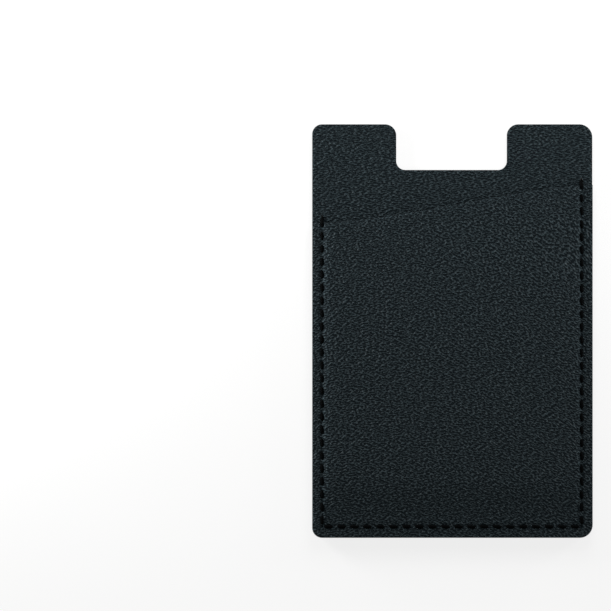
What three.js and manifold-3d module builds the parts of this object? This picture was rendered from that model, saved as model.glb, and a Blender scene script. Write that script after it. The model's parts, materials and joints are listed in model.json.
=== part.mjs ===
// A stick-on card holder for the back of a phone: two sheets of imitation leather sewn together on
// three sides, with a foam adhesive sheet and its peel-off liner behind them.
// Millimetres, +Z up. It lies on its liner with the pocket facing up. The origin is under the middle
// of the holder, +X runs across it and +Y runs along it, towards the thumb notch.
import * as THREE from "three";
import { mergeGeometries, mergeVertices } from "three/addons/utils/BufferGeometryUtils.js";
import Module from "manifold-3d";

// Outline of the back sheet
const holderWidth = 65;
const holderHeight = 95.9;
const leftCornerRadius = 2.3;
const rightCornerRadius = 3;

// Thumb notch in the top edge, which lets a thumb push the card's end
const notchWidth = 25.7;
const notchDepth = 10.6;
const notchShift = -0.15;
const notchMouthRadius = 2.6;
const notchFloorRadius = 2.1;

// Sheets, from the front to the back
const pocketThickness = 1;
const backThickness = 1;
const adhesiveThickness = 0.45;
const linerThickness = 0.12;

// Card pocket: its slanted mouth, and the room pressed into it for a card. The sheet rises to that
// room over a short ramp along each side and a longer one at the bottom.
const mouthLeftHeight = 72.9;
const mouthRightHeight = 81.8;
const mouthLeftHandle = 18.5;
const mouthRightHandle = 18.5;
const mouthRightFall = 0.8;
const cardRoom = 0.9;
const sideRampWidth = 3;
const bottomRampWidth = 6;

// Seam: a lockstitch of two threads along the left, bottom and right sides
const seamInsetLeft = 2.2;
const seamInsetRight = 2.5;
const seamInsetBottom = 2.65;
const stitchLength = 3.03;
const seamOverrun = 1.5;
const threadDiameter = 0.42;
const threadGap = 0.02;
const holeClearance = 0.05;
const edgeBridge = 0.15;
const bandBesideHole = 0.15;

// Adhesive and liner, set in from the outline so that the seam stays clear of them
const adhesiveInset = 4.2;
const linerOverhang = 0.8;
const smallestCornerRadius = 1.5;

// Fineness of the curves
const arcSteps = 5;
const mouthSteps = 20;
const rampSteps = 6;
const plateauSteps = 6;
const threadSides = 5;

// Heights of the faces that the sheets share
const adhesiveBottom = linerThickness;
const backBottom = adhesiveBottom + adhesiveThickness;
const backTop = backBottom + backThickness;
const bandTop = backTop + pocketThickness;

// Sides of the outline and of the seam
const left = -holderWidth / 2;
const right = holderWidth / 2;
const bottom = -holderHeight / 2;
const top = holderHeight / 2;
const seamLeft = left + seamInsetLeft;
const seamRight = right - seamInsetRight;
const seamBottom = bottom + seamInsetBottom;

// In each needle hole the two threads hook round each other, so their four legs stand in a square.
// The bend of each thread runs across the square, between the legs of the other.
const threadRadius = threadDiameter / 2;
const legSpread = (threadDiameter + threadGap) / Math.SQRT2;
const hookRise = (threadDiameter + threadGap) / 2;
const holeHalf = legSpread + threadRadius + holeClearance;
const flatHalf = holeHalf + bandBesideHole;

const wasm = await Module();
wasm.setup();

// Turns a closed geometry into a solid that can be cut.
function solidFrom(geometry) {
  const bare = geometry.clone();
  bare.deleteAttribute("normal");
  bare.deleteAttribute("uv");
  const merged = mergeVertices(bare, 1e-4);
  const mesh = new wasm.Mesh({
    numProp: 3,
    vertProperties: merged.attributes.position.array,
    triVerts: new Uint32Array(merged.index.array),
  });
  return new wasm.Manifold(mesh);
}

// Turns a cut solid back into a geometry.
function geometryFrom(solid) {
  const mesh = solid.getMesh();
  const geometry = new THREE.BufferGeometry();
  geometry.setAttribute("position", new THREE.BufferAttribute(mesh.vertProperties, 3));
  geometry.setIndex(new THREE.BufferAttribute(mesh.triVerts, 1));
  geometry.computeVertexNormals();
  return geometry;
}

// Adds a rounded right-angled corner to an outline, between the corners before and after it.
function addRoundedCorner(outline, before, corner, after) {
  const arriving = corner.point.clone().sub(before.point).normalize();
  const leaving = after.point.clone().sub(corner.point).normalize();
  const start = corner.point.clone().addScaledVector(arriving, -corner.radius);
  const end = corner.point.clone().addScaledVector(leaving, corner.radius);
  const centre = start.clone().addScaledVector(leaving, corner.radius);
  const startAngle = start.clone().sub(centre).angle();
  const endAngle = end.clone().sub(centre).angle();
  const clockwise = arriving.cross(leaving) < 0;
  outline.lineTo(start.x, start.y);
  outline.absarc(centre.x, centre.y, corner.radius, startAngle, endAngle, clockwise);
}

// The holder's outline with its thumb notch, set in by the same amount all round.
function holderOutline(inset) {
  const outerLeft = Math.max(leftCornerRadius - inset, inset > 0 ? smallestCornerRadius : 0);
  const outerRight = Math.max(rightCornerRadius - inset, inset > 0 ? smallestCornerRadius : 0);
  const mouth = Math.max(notchMouthRadius - inset, inset > 0 ? smallestCornerRadius : 0);
  const floor = notchFloorRadius + inset;
  const notchLeft = notchShift - notchWidth / 2 - inset;
  const notchRight = notchShift + notchWidth / 2 + inset;
  const notchFloor = top - notchDepth - inset;
  const corner = (x, y, radius) => ({ point: new THREE.Vector2(x, y), radius });
  const corners = [
    corner(left + inset, bottom + inset, outerLeft),
    corner(right - inset, bottom + inset, outerRight),
    corner(right - inset, top - inset, outerRight),
    corner(notchRight, top - inset, mouth),
    corner(notchRight, notchFloor, floor),
    corner(notchLeft, notchFloor, floor),
    corner(notchLeft, top - inset, mouth),
    corner(left + inset, top - inset, outerLeft),
  ];
  const outline = new THREE.Shape();
  outline.moveTo(left + inset + outerLeft, bottom + inset);
  for (let i = 1; i <= corners.length; i += 1) {
    const before = corners[i - 1];
    const after = corners[(i + 1) % corners.length];
    addRoundedCorner(outline, before, corners[i % corners.length], after);
  }
  return outline;
}

// The slanted mouth of the pocket, from the left edge to the right edge.
const mouthCurve = new THREE.CubicBezierCurve(
  new THREE.Vector2(left, bottom + mouthLeftHeight),
  new THREE.Vector2(left + mouthLeftHandle, bottom + mouthLeftHeight),
  new THREE.Vector2(right - mouthRightHandle, bottom + mouthRightHeight - mouthRightFall),
  new THREE.Vector2(right, bottom + mouthRightHeight),
);

// Height of the mouth where a line up the holder at x crosses it.
function mouthHeightAt(x) {
  let low = 0;
  let high = 1;
  for (let i = 0; i < 40; i += 1) {
    const middle = (low + high) / 2;
    if (mouthCurve.getPoint(middle).x < x) low = middle;
    else high = middle;
  }
  return mouthCurve.getPoint(low).y;
}

// The pocket's outline: the holder's lower corners, and the mouth in place of its top.
function pocketOutline() {
  const outline = new THREE.Shape();
  outline.moveTo(left + leftCornerRadius, bottom);
  outline.lineTo(right - rightCornerRadius, bottom);
  outline.absarc(right - rightCornerRadius, bottom + rightCornerRadius, rightCornerRadius, -Math.PI / 2, 0);
  for (let i = mouthSteps; i >= 0; i -= 1) {
    const point = mouthCurve.getPoint(i / mouthSteps);
    outline.lineTo(point.x, point.y);
  }
  outline.lineTo(left, bottom + leftCornerRadius);
  outline.absarc(
    left + leftCornerRadius,
    bottom + leftCornerRadius,
    leftCornerRadius,
    Math.PI,
    Math.PI * 1.5,
  );
  return outline;
}

// Needle holes in sewing order: down the left side, along the bottom and up the right side. Each has
// its place, the seam's direction there, the side to which its stitches lean, and the face on top.
function needleHoles() {
  const turns = [
    new THREE.Vector2(seamLeft, mouthHeightAt(seamLeft) + seamOverrun),
    new THREE.Vector2(seamLeft, seamBottom),
    new THREE.Vector2(seamRight, seamBottom),
    new THREE.Vector2(seamRight, mouthHeightAt(seamRight) + seamOverrun),
  ];
  const holes = [];
  for (let side = 0; side < 3; side += 1) {
    const run = turns[side + 1].clone().sub(turns[side]);
    const count = Math.round(run.length() / stitchLength);
    for (let i = side === 0 ? 0 : 1; i <= count; i += 1) {
      const place = turns[side].clone().addScaledVector(run, i / count);
      const alongBottom = side === 1 && i < count;
      holes.push({ place, lean: alongBottom ? -1 : 1, surface: bandTop });
    }
  }
  holes[0].surface = backTop;
  holes[holes.length - 1].surface = backTop;
  holes.forEach((hole, i) => {
    const before = holes[Math.max(i - 1, 0)].place;
    const after = holes[Math.min(i + 1, holes.length - 1)].place;
    const arriving = hole.place.clone().sub(before).normalize();
    const leaving = after.clone().sub(hole.place).normalize();
    hole.along = arriving.add(leaving).normalize();
    hole.across = new THREE.Vector2(-hole.along.y, hole.along.x);
  });
  return holes;
}

const holes = needleHoles();

// A point in a needle hole, measured along and across the seam.
function pointInHole(hole, along, across, height) {
  const place = hole.place.clone();
  place.addScaledVector(hole.along, along);
  place.addScaledVector(hole.across, across);
  return new THREE.Vector3(place.x, place.y, height);
}

// A flat sheet of this outline between two heights.
function flatSheet(outline, low, high) {
  const sheet = new THREE.ExtrudeGeometry(outline, {
    depth: high - low,
    bevelEnabled: false,
    curveSegments: arcSteps,
  });
  sheet.translate(0, 0, low);
  return sheet;
}

// Square prisms that cut these needle holes through a sheet.
function needleCuts(chosen) {
  const corners = [
    [-holeHalf, -holeHalf],
    [holeHalf, -holeHalf],
    [holeHalf, holeHalf],
    [-holeHalf, holeHalf],
  ];
  const cuts = chosen.map((hole) => {
    const points = corners.map(([along, across]) => {
      const point = pointInHole(hole, along, across, 0);
      return new THREE.Vector2(point.x, point.y);
    });
    return flatSheet(new THREE.Shape(points), backBottom - 1, bandTop + 1);
  });
  return solidFrom(mergeGeometries(cuts));
}

// A soft step from 0 to 1.
function ease(share) {
  return THREE.MathUtils.smoothstep(share, 0, 1);
}

// How far the pocket sheet is pressed up off the back sheet: nothing along the seam, and the card's
// room inside it.
function pocketLift(x, y) {
  const fromSide = Math.min(x - seamLeft, seamRight - x) - flatHalf;
  const fromBottom = y - seamBottom - flatHalf;
  return cardRoom * ease(fromSide / sideRampWidth) * ease(fromBottom / bottomRampWidth);
}

// Evenly spaced values from one to another, without the first.
function spread(from, to, steps) {
  return Array.from({ length: steps }, (_, i) => from + ((to - from) * (i + 1)) / steps);
}

// The pressed pocket sheet before it is trimmed: an upper and a lower surface on one grid, with lines
// close together on the ramps, and a wall round the edge.
function pressedSheet() {
  const clearOfMouth = bottom + Math.max(mouthLeftHeight, mouthRightHeight) + seamOverrun;
  const rampLeft = seamLeft + flatHalf;
  const rampRight = seamRight - flatHalf;
  const rampBottom = seamBottom + flatHalf;
  const columns = [
    left,
    rampLeft,
    ...spread(rampLeft, rampLeft + sideRampWidth, rampSteps),
    ...spread(rampLeft + sideRampWidth, rampRight - sideRampWidth, plateauSteps),
    ...spread(rampRight - sideRampWidth, rampRight, rampSteps),
    right,
  ];
  const rows = [
    bottom,
    rampBottom,
    ...spread(rampBottom, rampBottom + bottomRampWidth, rampSteps),
    ...spread(rampBottom + bottomRampWidth, clearOfMouth, plateauSteps),
  ];
  const positions = [];
  for (const rise of [0, pocketThickness]) {
    for (const y of rows) {
      for (const x of columns) positions.push(x, y, backTop + pocketLift(x, y) + rise);
    }
  }
  const across = columns.length;
  const layer = across * rows.length;
  const triangles = [];
  const quad = (a, b, c, d) => triangles.push(a, b, c, a, c, d);
  for (let row = 0; row + 1 < rows.length; row += 1) {
    for (let column = 0; column + 1 < across; column += 1) {
      const corner = row * across + column;
      quad(corner, corner + across, corner + across + 1, corner + 1);
      quad(layer + corner, layer + corner + 1, layer + corner + across + 1, layer + corner + across);
    }
  }
  const edge = [];
  for (let i = 0; i + 1 < across; i += 1) edge.push(i);
  for (let i = 0; i + 1 < rows.length; i += 1) edge.push(i * across + across - 1);
  for (let i = across - 1; i > 0; i -= 1) edge.push((rows.length - 1) * across + i);
  for (let i = rows.length - 1; i > 0; i -= 1) edge.push(i * across);
  edge.forEach((here, i) => {
    const next = edge[(i + 1) % edge.length];
    quad(here, next, layer + next, layer + here);
  });
  const sheet = new THREE.BufferGeometry();
  sheet.setAttribute("position", new THREE.Float32BufferAttribute(positions, 3));
  sheet.setIndex(triangles);
  return sheet;
}

// A thread's centreline, with a ring of the thread at each of its points and mitred turns.
class ThreadRoute extends THREE.Curve {
  constructor(points) {
    super();
    this.points = points;
  }

  getUtoTmapping(share) {
    return share;
  }

  getPoint(share, target = new THREE.Vector3()) {
    const index = Math.round(share * (this.points.length - 1));
    return target.copy(this.points[index]);
  }

  getTangent(share, target = new THREE.Vector3()) {
    const last = this.points.length - 1;
    const index = Math.round(share * last);
    const here = this.points[index];
    const arriving = here.clone().sub(this.points[Math.max(index - 1, 0)]).normalize();
    const leaving = this.points[Math.min(index + 1, last)].clone().sub(here).normalize();
    return target.copy(arriving).add(leaving).normalize();
  }
}

const centreOfThread = new THREE.Vector2(0, 0);

// One thread along the whole seam. In each hole it goes in by one leg, round the other thread and out
// by the next leg, so that its stitches lean. outside gives the height of its stitches over a hole,
// and hooked the height to which it goes in. Over the step at the mouth a stitch arches clear of the rim.
function seamThread(outside, hooked, lean) {
  const points = [];
  holes.forEach((hole, i) => {
    const sideways = legSpread * hole.lean * lean;
    const arrive = (height) => pointInHole(hole, -legSpread, sideways, height);
    const leave = (height) => pointInHole(hole, legSpread, -sideways, height);
    if (i > 0) {
      const last = points[points.length - 1];
      const landing = arrive(outside(hole));
      const step = Math.abs(last.z - landing.z);
      if (step > 0) {
        const bridge = last.clone().lerp(landing, 0.5);
        bridge.z = Math.max(last.z, landing.z) + edgeBridge * step;
        points.push(bridge);
      }
      points.push(landing);
    }
    points.push(arrive(hooked(hole)), leave(hooked(hole)));
    if (i < holes.length - 1) points.push(leave(outside(hole)));
  });
  const corners = Array.from({ length: threadSides }, (_, i) => {
    return new THREE.Vector2(threadRadius, 0).rotateAround(centreOfThread, (i * Math.PI * 2) / threadSides);
  });
  return new THREE.ExtrudeGeometry(new THREE.Shape(corners), {
    steps: points.length - 1,
    extrudePath: new ThreadRoute(points),
  });
}

// Middle of the leather at a needle hole, where the two threads hook round each other.
function middleAt(hole) {
  return (backBottom + hole.surface) / 2;
}

function needleThread() {
  return seamThread(
    (hole) => hole.surface + threadRadius,
    (hole) => middleAt(hole) - hookRise,
    1,
  );
}

function bobbinThread() {
  return seamThread(
    () => backBottom - threadRadius,
    (hole) => middleAt(hole) + hookRise,
    -1,
  );
}

function backPanel() {
  const sheet = solidFrom(flatSheet(holderOutline(0), backBottom, backTop));
  return geometryFrom(sheet.subtract(needleCuts(holes)));
}

function pocketPanel() {
  const trim = solidFrom(flatSheet(pocketOutline(), 0, bandTop + cardRoom * 2));
  const sheet = solidFrom(pressedSheet()).intersect(trim);
  return geometryFrom(sheet.subtract(needleCuts(holes.filter((hole) => hole.surface === bandTop))));
}

function adhesiveSheet() {
  return flatSheet(holderOutline(adhesiveInset), adhesiveBottom, backBottom);
}

function releaseLiner() {
  return flatSheet(holderOutline(adhesiveInset - linerOverhang), 0, adhesiveBottom);
}

// Finishes
const leather = new THREE.MeshStandardMaterial({ color: 0x23292d, roughness: 0.55, metalness: 0 });
const thread = new THREE.MeshStandardMaterial({ color: 0x08090a, roughness: 0.8, metalness: 0 });
const foam = new THREE.MeshStandardMaterial({ color: 0xd9dad6, roughness: 0.7, metalness: 0 });
const coatedPaper = new THREE.MeshStandardMaterial({ color: 0xf2f1ec, roughness: 0.35, metalness: 0 });

function piece(name, geometry, material) {
  const mesh = new THREE.Mesh(geometry, material);
  mesh.name = name;
  return mesh;
}

const holder = new THREE.Group();
holder.add(piece("back_panel", backPanel(), leather));
holder.add(piece("pocket_panel", pocketPanel(), leather));
holder.add(piece("needle_thread", needleThread(), thread));
holder.add(piece("bobbin_thread", bobbinThread(), thread));
holder.add(piece("adhesive_sheet", adhesiveSheet(), foam));
holder.add(piece("release_liner", releaseLiner(), coatedPaper));

export default holder;
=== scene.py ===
import json
import math

import bmesh
import bpy
from mathutils import Matrix, Vector, noise

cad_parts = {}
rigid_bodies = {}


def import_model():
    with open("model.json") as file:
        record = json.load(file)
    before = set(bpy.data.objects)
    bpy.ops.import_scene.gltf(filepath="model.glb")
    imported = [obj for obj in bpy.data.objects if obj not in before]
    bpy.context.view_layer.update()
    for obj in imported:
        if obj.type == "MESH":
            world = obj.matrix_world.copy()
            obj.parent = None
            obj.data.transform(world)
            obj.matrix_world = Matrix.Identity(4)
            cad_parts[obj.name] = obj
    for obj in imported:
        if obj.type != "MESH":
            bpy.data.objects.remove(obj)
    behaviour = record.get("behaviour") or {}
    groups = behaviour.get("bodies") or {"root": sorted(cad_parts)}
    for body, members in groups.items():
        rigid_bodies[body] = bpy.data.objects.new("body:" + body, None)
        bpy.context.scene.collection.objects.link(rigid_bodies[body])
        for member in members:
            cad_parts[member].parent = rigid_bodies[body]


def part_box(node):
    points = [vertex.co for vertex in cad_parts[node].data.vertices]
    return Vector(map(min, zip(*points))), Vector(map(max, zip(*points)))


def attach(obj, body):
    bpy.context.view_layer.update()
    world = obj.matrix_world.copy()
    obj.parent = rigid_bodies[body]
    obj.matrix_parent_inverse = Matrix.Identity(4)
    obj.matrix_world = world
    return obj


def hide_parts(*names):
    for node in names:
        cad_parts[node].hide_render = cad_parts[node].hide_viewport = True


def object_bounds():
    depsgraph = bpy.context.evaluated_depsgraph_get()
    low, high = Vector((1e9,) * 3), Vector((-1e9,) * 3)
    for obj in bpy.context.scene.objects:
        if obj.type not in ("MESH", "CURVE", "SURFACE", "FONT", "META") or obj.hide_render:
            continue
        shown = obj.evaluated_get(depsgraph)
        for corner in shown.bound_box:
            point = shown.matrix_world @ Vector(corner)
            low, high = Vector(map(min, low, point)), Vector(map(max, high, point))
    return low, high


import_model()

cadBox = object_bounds()
mm = 0.001

# The back sheet, as the solids give it
backLow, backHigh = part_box("back_panel")
backThickness = backHigh.z - backLow.z
left, right = backLow.x, backHigh.x
bottom, top = backLow.y, backHigh.y

# The seam runs down the left side, along the bottom and up the right side
seam = {
    "insetLeft": 2.28 * mm,
    "insetRight": 2.58 * mm,
    "insetBottom": 2.6 * mm,
    "stitchLength": 3.03 * mm,
    "overrun": 1.5 * mm,       # how far the first and last holes lie past the mouth
    "flatBand": 0.15 * mm,     # flat leather on each side of the seam
    "valleyDepth": 0.06 * mm,  # how far the thread pulls the leather down along the seam
    "valleyWidth": 0.38 * mm,
    "valleyReach": 3,          # past this many widths towards the pocket the leather is level
    "grooveDepth": 0.3 * mm,   # how much deeper it lies under each stitch
    "grooveWidth": 0.38 * mm,
    "grooveShare": 0.57,       # the groove's length as a share of the stitch
    "outerNarrowing": 1.6,     # the groove is narrower on the side of the sheet's edge
    "cornerHole": 0.38 * mm,   # the needle's hole shows at the two corners, as a pit with painted shade in it
}
seamLeft = left + seam["insetLeft"]
seamRight = right - seam["insetRight"]
seamBottom = bottom + seam["insetBottom"]


def hexColour(text):  # an sRGB hex colour as linear red, green, blue and alpha
    values = [int(text[i:i + 2], 16) / 255 for i in (1, 3, 5)]
    linear = [v / 12.92 if v <= 0.04045 else ((v + 0.055) / 1.055) ** 2.4 for v in values]
    return (*linear, 1.0)


# Materials

# Adds a node with its settings and its inputs. An input is given by its name, or as i0, i1 and so
# on by its number, and takes a value or the output of another node.
def addNode(material, kind, settings=None, **inputs):
    node = material.node_tree.nodes.new(kind)
    for name, value in (settings or {}).items():
        setattr(node, name, value)
    for name, value in inputs.items():
        socket = node.inputs[int(name[1:])] if name[0] == "i" and name[1:].isdigit() else node.inputs[name]
        if isinstance(value, bpy.types.NodeSocket):
            material.node_tree.links.new(value, socket)
        else:
            socket.default_value = value
    return node


def newMaterial(name):  # an empty node material
    material = bpy.data.materials.new(name)
    material.use_nodes = True
    material.node_tree.nodes.clear()
    return material


def finishMaterial(material, shader):  # puts the shader on the surface
    output = addNode(material, "ShaderNodeOutputMaterial")
    material.node_tree.links.new(shader, output.inputs["Surface"])
    return material


def principled(material, settings, **links):  # fixed values sit on the sockets themselves
    shader = addNode(material, "ShaderNodeBsdfPrincipled")
    for name, value in settings.items():
        shader.inputs[name].default_value = value
    for name, value in links.items():
        material.node_tree.links.new(value, shader.inputs[name.replace("_", " ")])
    return shader.outputs[0]


leather = {
    "pebble": 0.48 * mm,       # size of the pebbles
    "low": 0.35,               # the share of the noise that is still crease
    "high": 0.86,              # and the share from which it is all crest
    "turn": math.radians(35),  # keeps the noise's own grid off the sheet's edges
    "relief": 0.29 * mm,       # height of the pebbles, drawn steep so that they show
    "backStretch": 2.2,        # pebbles are longer than wide
    "pocketStretch": 1.6,
    "micro": 0.14 * mm,        # fine pores on the pebbles
    "microShare": 0.12,        # and their height as a share of the pebbles'
    "slope": 0.14,             # how steeply the pocket's grain runs down to the right in the middle
    "bend": 3.1,               # and how fast it gets steeper towards the right
    "bentUpTo": 12 * mm,       # it keeps that course up to this height over the middle
    "straightFrom": 26 * mm,   # and has straightened out from this height on
    "straightTop": 0.3,        # share of the slope that is left there
    # the crease colour is partly the grain's own darker tone and partly painted shade in the creases; it
    # is also the colour of the painted shade beside the thread
    "crease": "#01070b",
    "crest": "#293438",
    "creaseRoughness": 0.8,
    "crestRoughness": 0.4,
    "grooveAndShade": 0.95,            # painted shade: how much darker the leather is painted beside the thread, where the groove lies in shadow
}


# Imitation leather: a polyurethane skin embossed with a fine pebble grain that runs together into
# short worms. Its crests are dull satin. Its creases are painted much darker than the crests: partly
# the grain's own darker tone, partly painted shade in the creases. Beside the thread the colour is
# painted darker still, as painted shade in the stitches' grooves. The grain runs straight across the
# sheet, or bends down to the right as on the pocket.
def pebbledPolyurethane(name, stretch, isBent):
    material = newMaterial(name)
    place = addNode(material, "ShaderNodeTexCoord").outputs["Object"]
    course = place
    if isBent:
        axes = addNode(material, "ShaderNodeSeparateXYZ", Vector=place)
        steep = addNode(material, "ShaderNodeMath", {"operation": "MULTIPLY_ADD"}, i0=axes.outputs["X"],
                        i1=leather["bend"], i2=leather["slope"])
        fall = addNode(material, "ShaderNodeMath", {"operation": "MULTIPLY"}, i0=steep.outputs[0],
                       i1=axes.outputs["X"])
        share = addNode(material, "ShaderNodeMapRange", Value=axes.outputs["Y"], i1=leather["bentUpTo"],
                        i2=leather["straightFrom"], i3=1.0, i4=leather["straightTop"])
        risen = addNode(material, "ShaderNodeMath", {"operation": "MULTIPLY_ADD"}, i0=fall.outputs[0],
                        i1=share.outputs[0], i2=axes.outputs["Y"])
        course = addNode(material, "ShaderNodeCombineXYZ", X=axes.outputs["X"], Y=risen.outputs[0],
                         Z=axes.outputs["Z"]).outputs[0]
    drawn = addNode(material, "ShaderNodeMapping", Vector=course, Rotation=(0, 0, leather["turn"]),
                    Scale=(1 / math.sqrt(stretch), math.sqrt(stretch), 1))
    pebbles = addNode(material, "ShaderNodeTexNoise", {"noise_dimensions": "2D"}, Vector=drawn.outputs[0],
                      Scale=1 / leather["pebble"], Detail=0.0)
    grain = addNode(material, "ShaderNodeMapRange", Value=pebbles.outputs["Fac"], i1=leather["low"],
                    i2=leather["high"], i3=0.0, i4=1.0)
    micro = addNode(material, "ShaderNodeTexNoise", Vector=place, Scale=1 / leather["micro"], Detail=2.0)
    height = addNode(material, "ShaderNodeMath", {"operation": "MULTIPLY_ADD"}, i0=micro.outputs["Fac"],
                     i1=leather["microShare"], i2=grain.outputs[0])
    bump = addNode(material, "ShaderNodeBump", Height=height.outputs[0], Distance=leather["relief"],
                   Strength=1.0)
    # Colour by the grain's height: near-black creases, partly the grain's own tone and partly painted
    # shade, and lighter crests
    colour = addNode(material, "ShaderNodeMix", {"data_type": "RGBA"}, Factor=grain.outputs[0],
                     i6=hexColour(leather["crease"]), i7=hexColour(leather["crest"]))
    # Painted shade: along the stitches' grooves and in the corner holes the leather's colour is painted
    # towards the crease colour, where shadow falls
    grooveAndShade = addNode(material, "ShaderNodeAttribute", {"attribute_name": "grooveAndShade"})
    depth = addNode(material, "ShaderNodeMath", {"operation": "MULTIPLY"}, i0=grooveAndShade.outputs["Fac"],
                    i1=leather["grooveAndShade"])
    withPaintedShade = addNode(material, "ShaderNodeMix", {"data_type": "RGBA"}, Factor=depth.outputs[0],
                   i6=colour.outputs[2], i7=hexColour(leather["crease"]))
    dull = addNode(material, "ShaderNodeMapRange", Value=grain.outputs[0], i1=0.0, i2=1.0,
                   i3=leather["creaseRoughness"], i4=leather["crestRoughness"])
    shader = principled(
        material,
        {"Specular IOR Level": 0.08},
        Base_Color=withPaintedShade.outputs[2],
        Roughness=dull.outputs[0],
        Normal=bump.outputs[0],
    )
    return finishMaterial(material, shader)


cutEdgeLook = {
    "fibre": 0.35 * mm,
    "layering": 4,             # the fibres lie in layers along the sheet
    "relief": 0.05 * mm,
    "dark": "#050607",
    "light": "#262b2e",
}


# Cut edge of the imitation leather: matt fibres, stained black
def cutFibre():
    material = newMaterial("cutFibreEdge")
    place = addNode(material, "ShaderNodeTexCoord").outputs["Object"]
    layers = addNode(material, "ShaderNodeMapping", Vector=place, Scale=(1, 1, cutEdgeLook["layering"]))
    fibres = addNode(material, "ShaderNodeTexNoise", Vector=layers.outputs[0],
                     Scale=1 / cutEdgeLook["fibre"], Detail=4.0, Roughness=0.7)
    bump = addNode(material, "ShaderNodeBump", Height=fibres.outputs["Fac"],
                   Distance=cutEdgeLook["relief"])
    colour = addNode(material, "ShaderNodeMix", {"data_type": "RGBA"}, Factor=fibres.outputs["Fac"],
                     i6=hexColour(cutEdgeLook["dark"]), i7=hexColour(cutEdgeLook["light"]))
    shader = principled(
        material,
        {"Roughness": 0.85, "Specular IOR Level": 0.25},
        Base_Color=colour.outputs[2],
        Normal=bump.outputs[0],
    )
    return finishMaterial(material, shader)


backingLook = {
    "rib": 0.5 * mm,           # width of a rib of the knit, and of the gap beside it
    "ribShare": 0.5,           # its height as a share of the nap's
    "nap": 0.2 * mm,
    "relief": 0.06 * mm,
    "dark": "#0a0b0c",
    "light": "#24282a",
}


# Underside of the imitation leather: brushed knitted backing, black and matt with a faint nap
def knittedBacking():
    material = newMaterial("brushedKnitBacking")
    place = addNode(material, "ShaderNodeTexCoord").outputs["Object"]
    ribs = addNode(material, "ShaderNodeTexWave", {"wave_profile": "SIN"}, Vector=place,
                   Scale=0.5 / backingLook["rib"] / math.pi, Distortion=1.5, Detail=2.0)
    nap = addNode(material, "ShaderNodeTexNoise", Vector=place, Scale=1 / backingLook["nap"], Detail=3.0)
    height = addNode(material, "ShaderNodeMath", {"operation": "MULTIPLY_ADD"}, i0=ribs.outputs["Fac"],
                     i1=backingLook["ribShare"], i2=nap.outputs["Fac"])
    bump = addNode(material, "ShaderNodeBump", Height=height.outputs[0], Distance=backingLook["relief"])
    colour = addNode(material, "ShaderNodeMix", {"data_type": "RGBA"}, Factor=nap.outputs["Fac"],
                     i6=hexColour(backingLook["dark"]), i7=hexColour(backingLook["light"]))
    shader = principled(
        material,
        {"Roughness": 0.95, "Specular IOR Level": 0.2, "Sheen Weight": 0.15, "Sheen Roughness": 0.5},
        Base_Color=colour.outputs[2],
        Normal=bump.outputs[0],
    )
    return finishMaterial(material, shader)


threadLook = {
    "fibre": 0.09 * mm,
    "relief": 0.015 * mm,
    "dark": "#010101",
    "light": "#050607",
}


# Bonded polyester sewing thread: black and matt, darker than the leather beside it
def bondedThread():
    material = newMaterial("bondedPolyesterThread")
    place = addNode(material, "ShaderNodeTexCoord").outputs["Object"]
    fibres = addNode(material, "ShaderNodeTexNoise", Vector=place, Scale=1 / threadLook["fibre"],
                     Detail=2.0)
    bump = addNode(material, "ShaderNodeBump", Height=fibres.outputs["Fac"],
                   Distance=threadLook["relief"])
    colour = addNode(material, "ShaderNodeMix", {"data_type": "RGBA"}, Factor=fibres.outputs["Fac"],
                     i6=hexColour(threadLook["dark"]), i7=hexColour(threadLook["light"]))
    shader = principled(
        material,
        {"Roughness": 0.9, "Specular IOR Level": 0.02},
        Base_Color=colour.outputs[2],
        Normal=bump.outputs[0],
    )
    return finishMaterial(material, shader)


foamLook = {
    "cell": 0.16 * mm,
    "relief": 0.03 * mm,
    "dark": "#c9cac6",
    "light": "#e4e4e0",
}


# Acrylic foam tape: pale grey closed cells, soft and matt
def acrylicFoam():
    material = newMaterial("acrylicFoamTape")
    place = addNode(material, "ShaderNodeTexCoord").outputs["Object"]
    cells = addNode(material, "ShaderNodeTexVoronoi", {"feature": "F1"}, Vector=place,
                    Scale=1 / foamLook["cell"])
    bump = addNode(material, "ShaderNodeBump", Height=cells.outputs["Distance"],
                   Distance=foamLook["relief"])
    colour = addNode(material, "ShaderNodeMix", {"data_type": "RGBA"}, Factor=cells.outputs["Distance"],
                     i6=hexColour(foamLook["dark"]), i7=hexColour(foamLook["light"]))
    shader = principled(
        material,
        {"Roughness": 0.8},
        Base_Color=colour.outputs[2],
        Normal=bump.outputs[0],
    )
    return finishMaterial(material, shader)


linerLook = {
    "pulp": 1.4 * mm,          # clouds in the paper
    "pulpShare": 0.04,         # their height as a share of the waves'
    "wave": 14 * mm,           # slow waves of the sheet
    "relief": 0.25 * mm,
    "dark": "#e3e0d6",
    "light": "#f6f4ee",
}


# Release liner: white glassine paper, smooth and lightly glossy from its silicone coat
def glassineLiner():
    material = newMaterial("siliconedGlassine")
    place = addNode(material, "ShaderNodeTexCoord").outputs["Object"]
    pulp = addNode(material, "ShaderNodeTexNoise", Vector=place, Scale=1 / linerLook["pulp"], Detail=5.0,
                   Roughness=0.65)
    waves = addNode(material, "ShaderNodeTexNoise", Vector=place, Scale=1 / linerLook["wave"], Detail=1.0)
    height = addNode(material, "ShaderNodeMath", {"operation": "MULTIPLY_ADD"}, i0=pulp.outputs["Fac"],
                     i1=linerLook["pulpShare"], i2=waves.outputs["Fac"])
    bump = addNode(material, "ShaderNodeBump", Height=height.outputs[0], Distance=linerLook["relief"])
    colour = addNode(material, "ShaderNodeMix", {"data_type": "RGBA"}, Factor=pulp.outputs["Fac"],
                     i6=hexColour(linerLook["dark"]), i7=hexColour(linerLook["light"]))
    shader = principled(
        material,
        {"Roughness": 0.38, "Coat Weight": 0.3, "Coat Roughness": 0.25},
        Base_Color=colour.outputs[2],
        Normal=bump.outputs[0],
    )
    return finishMaterial(material, shader)


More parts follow.
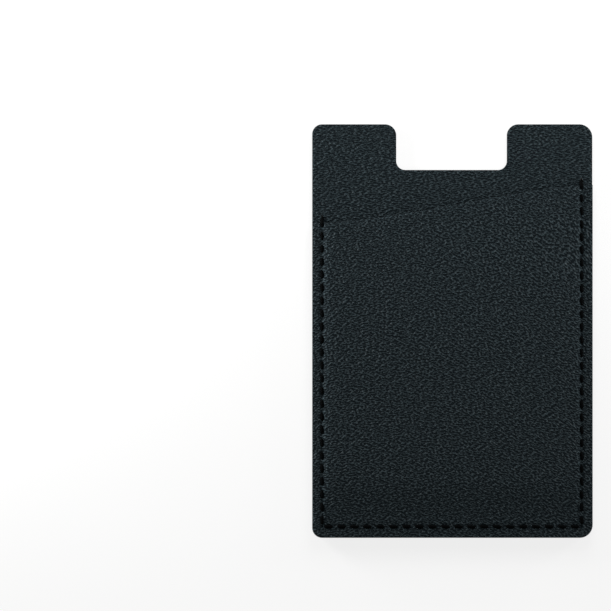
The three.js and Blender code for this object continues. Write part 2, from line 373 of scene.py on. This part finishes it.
backSkin = pebbledPolyurethane("pebbledBackSkin", leather["backStretch"], False)
pocketSkin = pebbledPolyurethane("pebbledPocketSkin", leather["pocketStretch"], True)
cutEdge = cutFibre()
backing = knittedBacking()
print("materials made")


# Common steps

sharpAngle = math.radians(50)
edgeTilt = 0.35  # a face whose normal points up or down by less than this is part of the cut edge


def newObject(name, shape, materials):  # turns a shape into an object of the scene
    mesh = bpy.data.meshes.new(name)
    shape.to_mesh(mesh)
    shape.free()
    for material in materials:
        mesh.materials.append(material)
    made = bpy.data.objects.new(name, mesh)
    bpy.context.scene.collection.objects.link(made)
    return made


def addPiece(name, shape, materials, node):  # a finished piece that stands for one solid
    piece = newObject(name, shape, materials)
    piece.data.set_sharp_from_angle(angle=sharpAngle)
    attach(piece, "root")
    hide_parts(node)
    print(name, len(piece.data.polygons), "faces")
    return piece


def finishSheet(shape):  # skin on top, fibres on the cut edge, backing below
    for face in shape.faces:
        face.smooth = True
        if abs(face.normal.z) < edgeTilt:
            face.material_index = 1
        elif face.normal.z < 0:
            face.material_index = 2


def ease(share):  # a soft step from 0 to 1
    share = min(max(share, 0.0), 1.0)
    return share * share * (3 - 2 * share)


# Camera, lights and floor

shot = {
    "imagePixels": 611,
    "holderMiddle": (452.3, 330.9),  # where the holder's middle stands in the image, in pixels
    "holderPixels": 413.35,          # its height there
    "lens": 180,
    "sensor": 36,
}
pixel = (top - bottom) / shot["holderPixels"]
cameraData = bpy.data.cameras.new("camera")
cameraData.lens = shot["lens"]
cameraData.sensor_width = shot["sensor"]
camera = bpy.data.objects.new("camera", cameraData)
camera.location = (
    (left + right) / 2 - (shot["holderMiddle"][0] - shot["imagePixels"] / 2) * pixel,
    (bottom + top) / 2 + (shot["holderMiddle"][1] - shot["imagePixels"] / 2) * pixel,
    backHigh.z + pixel * shot["imagePixels"] * shot["lens"] / shot["sensor"],
)
bpy.context.scene.collection.objects.link(camera)
bpy.context.scene.camera = camera
bpy.context.scene.view_settings.view_transform = "Standard"

lamps = {
    # place and size in metres and power in watts of each soft box
    "topSoftBox": {"place": (0.02, 0.12, 0.09), "size": 0.1, "power": 0.185},
    "frontSoftBox": {"place": (0, -0.16, 0.34), "size": 0.16, "power": 0.19},
    "leftSoftBox": {"place": (-0.18, 0.07, 0.03), "size": 0.06, "power": 0.7},
    "rightSoftBox": {"place": (0.18, 0.06, 0.03), "size": 0.06, "power": 0.3},
}
for name, lamp in lamps.items():
    lampData = bpy.data.lights.new(name, "AREA")
    lampData.size = lamp["size"]
    lampData.energy = lamp["power"]
    lampObject = bpy.data.objects.new(name, lampData)
    lampObject.location = lamp["place"]
    lampObject.rotation_euler = (-Vector(lamp["place"])).to_track_quat("-Z", "Y").to_euler()
    bpy.context.scene.collection.objects.link(lampObject)


room = {
    "colour": "#f4f4f3",
    "ambient": 0.12,           # strength of the room's own light
    "floorGlow": 0.8,          # share of the floor's white that no shadow takes away
    "floorSize": 2.0,
    "floorGap": 0.01 * mm,     # how far the floor lies under the holder
    "contact": 3 * mm,         # light that meets the floor within this distance goes through it
}


# 1 for the rays that show the white backdrop, 0 for those that light the holder
def backdropRay(material):
    path = addNode(material, "ShaderNodeLightPath")
    mirrored = addNode(material, "ShaderNodeMath", {"operation": "MAXIMUM"},
                       i0=path.outputs["Is Glossy Ray"], i1=path.outputs["Is Transmission Ray"])
    return addNode(material, "ShaderNodeMath", {"operation": "MAXIMUM"}, i0=path.outputs["Is Camera Ray"],
                   i1=mirrored.outputs[0]).outputs[0]


world = bpy.data.worlds.new("studio")
world.use_nodes = True
backdrop = world.node_tree.nodes["Background"]
backdrop.inputs["Color"].default_value = hexColour(room["colour"])
brightness = addNode(world, "ShaderNodeMath", {"operation": "MULTIPLY_ADD"}, i0=backdropRay(world),
                     i1=1.0 - room["ambient"], i2=room["ambient"])
world.node_tree.links.new(brightness.outputs[0], backdrop.inputs["Strength"])
bpy.context.scene.world = world


# The floor shows white and keeps the holder's shadow. From below it is clear, and so it is right
# under the holder for the room's light, so that the underside can be seen.
def studioFloor():
    material = newMaterial("studioFloor")
    path = addNode(material, "ShaderNodeLightPath")
    geometry = addNode(material, "ShaderNodeNewGeometry")
    paper = addNode(material, "ShaderNodeBsdfDiffuse", Color=hexColour(room["colour"]))
    glow = addNode(material, "ShaderNodeEmission", Color=(1, 1, 1, 1), Strength=1.0)
    share = addNode(material, "ShaderNodeMath", {"operation": "MULTIPLY"}, i0=backdropRay(material),
                    i1=room["floorGlow"])
    lit = addNode(material, "ShaderNodeMixShader", i0=share.outputs[0], i1=paper.outputs[0],
                  i2=glow.outputs[0])
    clear = addNode(material, "ShaderNodeBsdfTransparent")
    near = addNode(material, "ShaderNodeMath", {"operation": "LESS_THAN"}, i0=path.outputs["Ray Length"],
                   i1=room["contact"])
    opened = addNode(material, "ShaderNodeMath", {"operation": "MAXIMUM"},
                     i0=geometry.outputs["Backfacing"], i1=near.outputs[0])
    sided = addNode(material, "ShaderNodeMixShader", i0=opened.outputs[0], i1=lit.outputs[0],
                    i2=clear.outputs[0])
    return finishMaterial(material, sided.outputs[0])


floorShape = bmesh.new()
bmesh.ops.create_grid(floorShape, x_segments=1, y_segments=1, size=room["floorSize"])
bmesh.ops.translate(floorShape, verts=floorShape.verts, vec=(0, 0, cadBox[0].z - room["floorGap"]))
newObject("floor", floorShape, [studioFloor()])
print("camera, lamps and floor set")


# The pocket's mouth: one smooth slanted curve from the left edge to the right edge

mouth = {
    "leftHeight": 72.9 * mm,
    "rightHeight": 81.8 * mm,
    "leftHandle": 18.5 * mm,
    "rightHandle": 18.5 * mm,
    "rightFall": 0.8 * mm,
    "halvings": 24,            # of the curve, to find its height over a place
}
mouthPoints = [
    Vector((left, bottom + mouth["leftHeight"])),
    Vector((left + mouth["leftHandle"], bottom + mouth["leftHeight"])),
    Vector((right - mouth["rightHandle"], bottom + mouth["rightHeight"] - mouth["rightFall"])),
    Vector((right, bottom + mouth["rightHeight"])),
]


def mouthHeight(x):
    low, high = 0.0, 1.0
    for halving in range(mouth["halvings"]):
        t = (low + high) / 2
        a, b, c, d = (1 - t) ** 3, 3 * t * (1 - t) ** 2, 3 * t * t * (1 - t), t ** 3
        point = a * mouthPoints[0] + b * mouthPoints[1] + c * mouthPoints[2] + d * mouthPoints[3]
        if point.x < x:
            low = t
        else:
            high = t
    return point.y


# Needle holes in sewing order, and the way in which the stitch that ends in each one leans. The
# bottom row leans the other way.

def needleHoles():
    turns = [
        Vector((seamLeft, mouthHeight(seamLeft) + seam["overrun"])),
        Vector((seamLeft, seamBottom)),
        Vector((seamRight, seamBottom)),
        Vector((seamRight, mouthHeight(seamRight) + seam["overrun"])),
    ]
    places = [turns[0]]
    leans = [1]
    for side in range(3):
        run = turns[side + 1] - turns[side]
        count = round(run.length / seam["stitchLength"])
        for i in range(1, count + 1):
            places.append(turns[side] + run * i / count)
            leans.append(-1 if side == 1 else 1)
    return places, leans


holes, leans = needleHoles()

thread = {
    "radius": 0.42 * mm,        # drawn twice as thick as the real thread, so that the dashes show
    "plies": 3,
    "plyRelief": 0.14,          # how deep the valleys between the plies are, as a share of the radius
    "twist": 1.3 * mm,          # length of one turn of the plies
    "sectionPoints": 15,
    "pathPoints": 18,           # to each stitch
    "needleCrest": -0.06 * mm,  # height of a stitch's middle over the leather, in its groove
    "bobbinCrest": 0.08 * mm,
    "deep": 0.85 * mm,          # how far it goes down in a hole
    "visibleShare": 0.52,       # how much of a stitch lies on top
    "slant": 0.18 * mm,         # how far each end of a stitch is off the seam's line
    "climbStart": 0.12,         # where a stitch over the mouth's step starts to climb
    "fallStart": 0.52,          # or to fall
    "climbShare": 0.36,         # and the share of the stitch that it takes
    "weld": 0.001 * mm,         # points closer than this are one
}


def stitchFrame(i):  # middle, length, direction and sideways direction of a stitch
    run = holes[i + 1] - holes[i]
    along = run.normalized()
    return (holes[i] + holes[i + 1]) / 2, run.length, along, Vector((-along.y, along.x)) * leans[i + 1]


stitches = [stitchFrame(i) for i in range(len(holes) - 1)]
cornerHoles = [Vector((seamLeft, seamBottom)), Vector((seamRight, seamBottom))]


def grooveAt(x, y):  # 1 in the middle of a stitch's groove or a corner's hole, 0 away from it; this sets the groove's depth and the painted shade there
    deepest = 0.0
    for corner in cornerHoles:
        deepest = max(deepest, math.exp(-((Vector((x, y)) - corner).length / seam["cornerHole"]) ** 2))
    for middle, length, along, across in stitches:
        aside = Vector((x - middle.x, y - middle.y))
        share = 2 * aside.dot(along) / length
        if abs(share) < 1:
            off = (aside.dot(across) - thread["slant"] * share) / seam["grooveWidth"]
            closing = max(0.0, 1 - (abs(share) / seam["grooveShare"]) ** 4)
            deepest = max(deepest, closing * math.exp(-off * off))
    return deepest


# Pocket sheet

pocket = {
    "thickness": 1.0 * mm,
    "cardRoom": 0.9 * mm,
    "sideRamp": 3.6 * mm,      # the sheet rises to the card's room over this width
    "bottomRamp": 11.0 * mm,
    "rimRadius": 0.2 * mm,
    "rimSteps": 4,
    "seamBand": 4.4 * mm,      # the mesh is finer from the edge to here
    "seamSteps": 22,
    "crownDepth": 0.12 * mm,   # the sheet thins out softly towards its edge
    "bottomCrown": 0.02 * mm,  # and less so along the bottom
    "crownWidth": 1.3 * mm,
    "columns": 168,
    "rows": 210,
    "leftCorner": 2.3 * mm,
    "rightCorner": 3.0 * mm,
    "unevenness": 0.035 * mm,  # the sheet is a little wavy
    "unevenLength": 11 * mm,
    "evenEdge": 4 * mm,        # but less and less so from here to its edge
}


def steepRise(share):  # a step from 0 to 1 that is steep at first and then levels out
    return 1 - (1 - min(max(share, 0.0), 1.0)) ** 4


def pocketLift(x, y):  # how far the pocket stands off the back sheet
    fromSide = min(x - seamLeft, seamRight - x) - seam["flatBand"]
    fromBottom = y - seamBottom - seam["flatBand"]
    sideRise = steepRise(fromSide / pocket["sideRamp"])
    bottomRise = ease(fromBottom / pocket["bottomRamp"])
    return pocket["cardRoom"] * sideRise * bottomRise


def seamDip(x, y):  # how far the thread pulls the leather down, and its groove there, which also says where shade is painted
    inward = min(x - seamLeft, seamRight - x, y - seamBottom)
    if inward > seam["valleyReach"] * seam["valleyWidth"]:
        return 0.0, 0.0
    grooveAndShade = grooveAt(x, y)
    dip = seam["valleyDepth"] * math.exp(-(inward / seam["valleyWidth"]) ** 2)
    if inward < 0:
        grooveAndShade **= seam["outerNarrowing"]
    return dip + seam["grooveDepth"] * grooveAndShade, grooveAndShade


def crownDrop(depth, distance):  # how much thinner the sheet is near an edge
    return depth * max(0.0, 1 - distance / pocket["crownWidth"]) ** 2


def rimDrop(distance):  # rounding of the sheet's upper rim
    radius = pocket["rimRadius"]
    if distance >= radius:
        return 0.0
    return radius - math.sqrt(radius ** 2 - (radius - distance) ** 2)


def placeOnLine(index, count, low, high):  # close lines on the rims and around the seams
    if index > count / 2:
        return low + high - placeOnLine(count - index, count, low, high)
    rim, rimSteps = pocket["rimRadius"], pocket["rimSteps"]
    band, bandSteps = pocket["seamBand"], pocket["seamSteps"]
    if index <= rimSteps:
        return low + rim * (1 - math.cos(math.pi / 2 * index / rimSteps))
    if index <= rimSteps + bandSteps:
        return low + rim + (band - rim) * (index - rimSteps) / bandSteps
    share = (index - rimSteps - bandSteps) / (count / 2 - rimSteps - bandSteps)
    return low + band + ((high - low) / 2 - band) * share


def roundCorner(x, y, cornerX, radius):  # bends the square lower corners round
    toSide = 1 if cornerX > 0 else -1
    u = (x - (cornerX - toSide * radius)) * toSide / radius
    v = (bottom + radius - y) / radius
    if u <= 0 or v <= 0:
        return x, y
    newU = u * math.sqrt(1 - v * v / 2)
    newV = v * math.sqrt(1 - u * u / 2)
    return cornerX - toSide * radius * (1 - newU), bottom + radius * (1 - newV)


def makePocketSheet():
    shape = bmesh.new()
    # the groove's profile at each point, which the skin reads to paint shade beside the thread
    grooveShadeLayer = shape.verts.layers.float.new("grooveAndShade")
    columns, rows = pocket["columns"], pocket["rows"]
    bmesh.ops.create_grid(shape, x_segments=columns, y_segments=rows, size=0.5)
    lower = list(shape.verts)
    extruded = bmesh.ops.extrude_face_region(shape, geom=shape.faces[:], use_keep_orig=True)
    upper = [item for item in extruded["geom"] if isinstance(item, bmesh.types.BMVert)]
    mouthOver = [mouthHeight(placeOnLine(i, columns, left, right)) for i in range(columns + 1)]
    for verts, isUpper in ((lower, False), (upper, True)):
        for vert in verts:
            column = round((vert.co.x + 0.5) * columns)
            row = round((vert.co.y + 0.5) * rows)
            x = placeOnLine(column, columns, left, right)
            y = placeOnLine(row, rows, bottom, mouthOver[column])
            fromSide = min(x - left, right - x, mouthOver[column] - y)
            fromBottom = y - bottom
            fromEdge = min(fromSide, fromBottom)
            crown = max(crownDrop(pocket["crownDepth"], fromSide),
                        crownDrop(pocket["bottomCrown"], fromBottom))
            x, y = roundCorner(x, y, left, pocket["leftCorner"])
            x, y = roundCorner(x, y, right, pocket["rightCorner"])
            z = backHigh.z + pocketLift(x, y)
            if isUpper:
                wave = noise.noise(Vector((x, y, 0)) / pocket["unevenLength"])
                dip, vert[grooveShadeLayer] = seamDip(x, y)
                z += pocket["thickness"] - dip - crown - rimDrop(fromEdge)
                z += pocket["unevenness"] * wave * min(fromEdge / pocket["evenEdge"], 1)
            vert.co = (x, y, z)
    bmesh.ops.recalc_face_normals(shape, faces=shape.faces)
    finishSheet(shape)
    return shape


addPiece("pocketSheet", makePocketSheet(), [pocketSkin, cutEdge, backing], "pocket_panel")


# Back sheet

back = {
    "notchWidth": 25.7 * mm,
    "notchDepth": 10.6 * mm,
    "notchShift": -0.15 * mm,
    "mouthRadius": 2.6 * mm,
    "floorRadius": 2.1 * mm,
    "cornerSegments": 14,
    "rimRadius": 0.2 * mm,
    "rimSegments": 4,
    "crownWidths": (0.5 * mm, 0.7 * mm),  # the sheet thins out towards its edge in two soft steps
    "crownDepths": (0.07 * mm, 0.04 * mm),
    "flatTop": 0.9,            # the flat top's normal points up by more than this
    "holeRadius": 0.42 * mm,
    "holeTaper": 0.35,         # the narrow end's radius as a share of the wide end's
    "holeDepth": 0.45 * mm,    # half of it lies in the leather
    "holeSegments": 14,
}


def makeBackSheet():
    notchLeft = back["notchShift"] - back["notchWidth"] / 2
    notchRight = back["notchShift"] + back["notchWidth"] / 2
    notchFloor = top - back["notchDepth"]
    corners = [
        (left, bottom, pocket["leftCorner"]),
        (right, bottom, pocket["rightCorner"]),
        (right, top, pocket["rightCorner"]),
        (notchRight, top, back["mouthRadius"]),
        (notchRight, notchFloor, back["floorRadius"]),
        (notchLeft, notchFloor, back["floorRadius"]),
        (notchLeft, top, back["mouthRadius"]),
        (left, top, pocket["leftCorner"]),
    ]
    shape = bmesh.new()
    verts = [shape.verts.new((x, y, backLow.z)) for x, y, radius in corners]
    shape.faces.new(verts)
    for vert, corner in zip(verts, corners):
        bmesh.ops.bevel(shape, geom=[vert], offset=corner[2], segments=back["cornerSegments"],
                        profile=0.5, affect="VERTICES", material=-1)
    extruded = bmesh.ops.extrude_face_region(shape, geom=shape.faces[:], use_keep_orig=True)
    raised = [item for item in extruded["geom"] if isinstance(item, bmesh.types.BMVert)]
    bmesh.ops.translate(shape, verts=raised, vec=(0, 0, backThickness - sum(back["crownDepths"])))
    bmesh.ops.recalc_face_normals(shape, faces=shape.faces)
    rims = [edge for edge in shape.edges if edge.verts[0].co.z == edge.verts[1].co.z]
    bmesh.ops.bevel(shape, geom=rims, offset=back["rimRadius"], segments=back["rimSegments"],
                    profile=0.5, affect="EDGES", material=-1)
    flatTop = back["flatTop"]
    for width, depth in zip(back["crownWidths"], back["crownDepths"]):
        upper = max(shape.faces, key=lambda face: face.calc_center_median().z * (face.normal.z > flatTop))
        bmesh.ops.inset_region(shape, faces=[upper], thickness=width, depth=depth)
    finishSheet(shape)
    return shape


def makeNeedlePits():  # small funnels where the thread pulls the leather into each hole
    shape = bmesh.new()
    spots = [(hole, backLow.z, -1) for hole in holes]
    spots += [(holes[0], backHigh.z, 1), (holes[-1], backHigh.z, 1)]
    for hole, z, outward in spots:
        turn = Matrix.Rotation(0 if outward < 0 else math.pi, 4, "X")
        bmesh.ops.create_cone(shape, cap_ends=True, segments=back["holeSegments"],
                              radius1=back["holeRadius"],
                              radius2=back["holeRadius"] * back["holeTaper"], depth=back["holeDepth"],
                              matrix=Matrix.Translation((hole.x, hole.y, z)) @ turn)
    return shape


def cutNeedlePits(sheet):
    pits = newObject("needlePits", makeNeedlePits(), [backing])
    cutting = sheet.modifiers.new("needlePits", "BOOLEAN")
    cutting.operation = "DIFFERENCE"
    cutting.object = pits
    cutting.solver = "EXACT"
    bpy.context.view_layer.update()
    evaluated = sheet.evaluated_get(bpy.context.evaluated_depsgraph_get())
    cutMesh = bpy.data.meshes.new_from_object(evaluated)
    sheet.modifiers.clear()
    sheet.data = cutMesh
    bpy.data.objects.remove(pits)


backSheet = addPiece("backSheet", makeBackSheet(), [backSkin, cutEdge, backing], "back_panel")
cutNeedlePits(backSheet)
evening = backSheet.modifiers.new("evenShading", "WEIGHTED_NORMAL")
evening.keep_sharp = True


# Threads

def stitchPath(heights, outward, crest):  # the route of one thread through all the holes
    points = []
    for i, (middle, length, along, across) in enumerate(stitches):
        firstHeight, lastHeight = heights[i], heights[i + 1]
        climbStart = thread["climbStart"] if lastHeight > firstHeight else thread["fallStart"]
        for step in range(thread["pathPoints"]):
            t = step / thread["pathPoints"]
            share = 2 * t - 1
            fall = (crest + thread["radius"]) * (abs(share) / thread["visibleShare"]) ** 4
            offset = max(crest - fall, -thread["deep"])
            climb = ease((t - climbStart) / thread["climbShare"])
            height = firstHeight + (lastHeight - firstHeight) * climb
            plan = middle + along * share * length / 2 + across * thread["slant"] * share * outward
            points.append(Vector((plan.x, plan.y, height + outward * offset)))
    return points


def plySection(name):  # the thread's cross-section, with one bulge for each ply
    section = bpy.data.curves.new(name, "CURVE")
    section.dimensions = "2D"
    outline = section.splines.new("POLY")
    count = thread["sectionPoints"]
    outline.points.add(count - 1)
    for i, point in enumerate(outline.points):
        angle = 2 * math.pi * i / count
        valley = 0.5 - 0.5 * math.cos(thread["plies"] * angle)
        radius = thread["radius"] * (1 - thread["plyRelief"] * valley)
        point.co = (radius * math.cos(angle), radius * math.sin(angle), 0, 1)
    outline.use_cyclic_u = True
    made = bpy.data.objects.new(name, section)
    bpy.context.scene.collection.objects.link(made)
    return made


def makeThread(name, points):  # three twisted plies swept along the route
    section = plySection(name + "Section")
    route = bpy.data.curves.new(name + "Route", "CURVE")
    route.dimensions = "3D"
    route.twist_mode = "MINIMUM"
    route.bevel_mode = "OBJECT"
    route.bevel_object = section
    route.use_fill_caps = True
    line = route.splines.new("POLY")
    line.points.add(len(points) - 1)
    length = 0.0
    for i, (spot, place) in enumerate(zip(line.points, points)):
        length += (place - points[max(i - 1, 0)]).length
        spot.co = (*place, 1)
        spot.tilt = 2 * math.pi * length / thread["twist"]
    routeObject = bpy.data.objects.new(name + "Route", route)
    bpy.context.scene.collection.objects.link(routeObject)
    bpy.context.view_layer.update()
    evaluated = routeObject.evaluated_get(bpy.context.evaluated_depsgraph_get())
    swept = bpy.data.meshes.new_from_object(evaluated)
    shape = bmesh.new()
    shape.from_mesh(swept)
    bmesh.ops.remove_doubles(shape, verts=shape.verts, dist=thread["weld"])
    bmesh.ops.recalc_face_normals(shape, faces=shape.faces)
    for face in shape.faces:
        face.smooth = True
    bpy.data.objects.remove(routeObject)
    bpy.data.objects.remove(section)
    return shape


threadFinish = bondedThread()

# Height of the leather's face at each hole. The first and last holes go through the back sheet alone.
needleHeights = [backHigh.z + pocket["thickness"]] * len(holes)
needleHeights[0] = backHigh.z
needleHeights[-1] = backHigh.z
bobbinHeights = [backLow.z] * len(holes)

needlePath = stitchPath(needleHeights, 1, thread["needleCrest"])
addPiece("needleThread", makeThread("needleThread", needlePath), [threadFinish], "needle_thread")
bobbinPath = stitchPath(bobbinHeights, -1, thread["bobbinCrest"])
addPiece("bobbinThread", makeThread("bobbinThread", bobbinPath), [threadFinish], "bobbin_thread")


# The adhesive sheet and the liner keep their solids

def dressNode(node, material):
    for piece in bpy.data.objects:
        if piece.type == "MESH" and piece.name == node:
            piece.data.materials.clear()
            piece.data.materials.append(material)


dressNode("adhesive_sheet", acrylicFoam())
dressNode("release_liner", glassineLiner())
print("adhesive sheet and liner dressed")

print("done")
